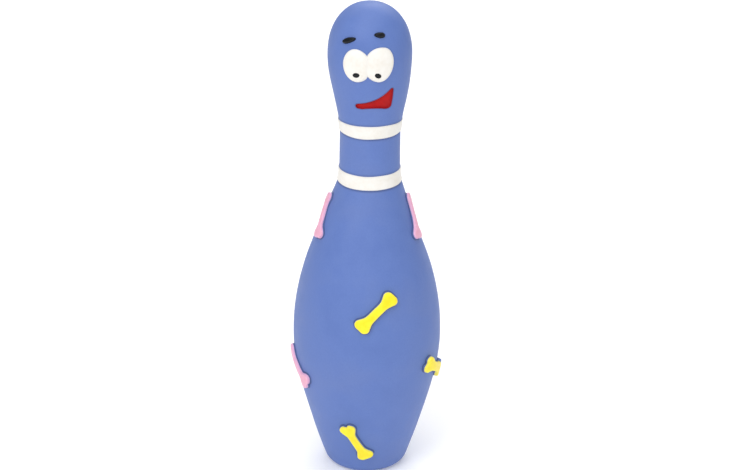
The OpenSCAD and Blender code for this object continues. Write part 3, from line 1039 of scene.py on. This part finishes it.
cup = turned("squeaker_cup_shell", [
    (2.5, 0.4), (3.3, 0.4), (3.6, 0.62), (6.6, 0.62), (6.9, 0.4), (9.9, 0.4), (10.3, 0.8), (10.3, 1.6), (8, 1.6),
    (8, 3.9), (9, 4.1), (9, 4.6), (8, 5.6), (8, 16), (7, 16), (7, 1.6), (5, 1.6), (5, 6.6), (4, 6.6), (4, 1.6), (2.5, 1.6)])
dress(cup, "plastic", node="squeaker_cup")


def filling():
    n = 96
    ss = np.linspace(float(s_of_z(9)), S_END, 90)
    prof = [(9.8, 4.4), (14, 4.4), (17.4, 6.0)]
    for s in ss[:-1]:
        q = wall_point(0.0, s, -WALL - 0.3)
        prof.append((max(float(-q[1]), 0.3), float(q[2])))
    pocket = [(0.3, 18.6), (6.4, 18.5), (9.3, 16.0), (9.6, 10)]
    verts, faces, rows = [], [], []
    for i, (r, z) in enumerate(prof + pocket):
        row = []
        for a in np.arange(n) / n * 2 * math.pi:
            v = Vector((r * math.sin(a), -r * math.cos(a), z))
            dent = abs(noise.noise(v * 0.12)) * 1.4 + abs(noise.noise(v * 0.4)) * 0.5 if i < len(prof) else 0
            k = max(r - dent * min(1, r / 6), 0.2)
            row.append(len(verts))
            verts.append((k * math.sin(a), -k * math.cos(a), z))
        rows.append(row)
    for a, b in zip(rows, rows[1:] + rows[:1]):
        if a is rows[len(prof) - 1]:
            continue
        for i in range(n):
            j = (i + 1) % n
            faces.append([a[i], a[j], b[j], b[i]])
    for row, z, flip in ((rows[len(prof) - 1], PIN_H - WALL - 0.4, False), (rows[len(prof)], 18.6, True)):
        c = len(verts)
        verts.append((0, 0, z))
        for i in range(n):
            j = (i + 1) % n
            faces.append([row[j], row[i], c] if flip else [row[i], row[j], c])
    return mesh_object("filling", np.array(verts), faces)


dress(filling(), "wadding", node="fibre_filling")

for name, mat in (("squeaker_lid", "plastic"), ("tone_board", "plastic"), ("reed_wedge", "plastic"), ("reed", "film")):
    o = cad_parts[name]
    o.data.materials.clear()
    o.data.materials.append(MAT[mat])
    for p in o.data.polygons:
        p.material_index = 0

# ------------------------------------------------------------------ floor and light
FLOOR_GLOW = 0.2


def floor():
    me = bpy.data.meshes.new("floor")
    a = 6.0
    me.from_pydata([(-a, -a, 0), (a, -a, 0), (a, a, 0), (-a, a, 0)], [], [(0, 1, 2, 3)])
    o = bpy.data.objects.new("floor", me)
    o.location = (0, 0, -0.00005)
    bpy.context.scene.collection.objects.link(o)
    m, t, b = node_tree("studio_floor")
    b.inputs["Base Color"].default_value = (0.9, 0.9, 0.9, 1)
    b.inputs["Roughness"].default_value = 0.9
    b.inputs["Specular IOR Level"].default_value = 0.1
    b.inputs["Emission Color"].default_value = (1, 1, 1, 1)
    b.inputs["Emission Strength"].default_value = FLOOR_GLOW
    me.materials.append(m)


floor()


def area(name, pos, aim, size, power, colour=(1, 1, 1)):
    d = bpy.data.lights.new(name, "AREA")
    d.shape = "RECTANGLE"
    d.size, d.size_y = size
    d.energy = power
    d.color = colour
    o = bpy.data.objects.new(name, d)
    o.location = pos
    o.rotation_mode = "QUATERNION"
    o.rotation_quaternion = (Vector(aim) - Vector(pos)).to_track_quat("-Z", "Y")
    bpy.context.scene.collection.objects.link(o)


LIGHTS = [
    ("key", (-0.75, -1.15, 1.35), (0, 0, 0.1), (0.9, 0.9), 11),
    ("front", (0, -1.5, 1.0), (0, 0, 0.1), (1.0, 1.0), 3.5),
    ("side", (1.2, -0.9, 0.7), (0, 0, 0.1), (1.0, 1.0), 1.5),
    ("top", (0, -0.2, 1.7), (0, 0, 0.1), (1.2, 1.2), 10),
    ("rear", (0.3, 1.4, 1.2), (0, 0, 0.1), (1.4, 0.8), 12),
]
WORLD_LIGHT = 0.43
for light in LIGHTS:
    area(*light)
w = bpy.data.worlds.new("world")
w.use_nodes = True
w.node_tree.nodes["Background"].inputs[0].default_value = (1, 1, 1, 1)
w.node_tree.nodes["Background"].inputs[1].default_value = WORLD_LIGHT
bpy.context.scene.world = w
bpy.context.scene.view_settings.view_transform = "Standard"
bpy.context.scene.view_settings.look = "None"
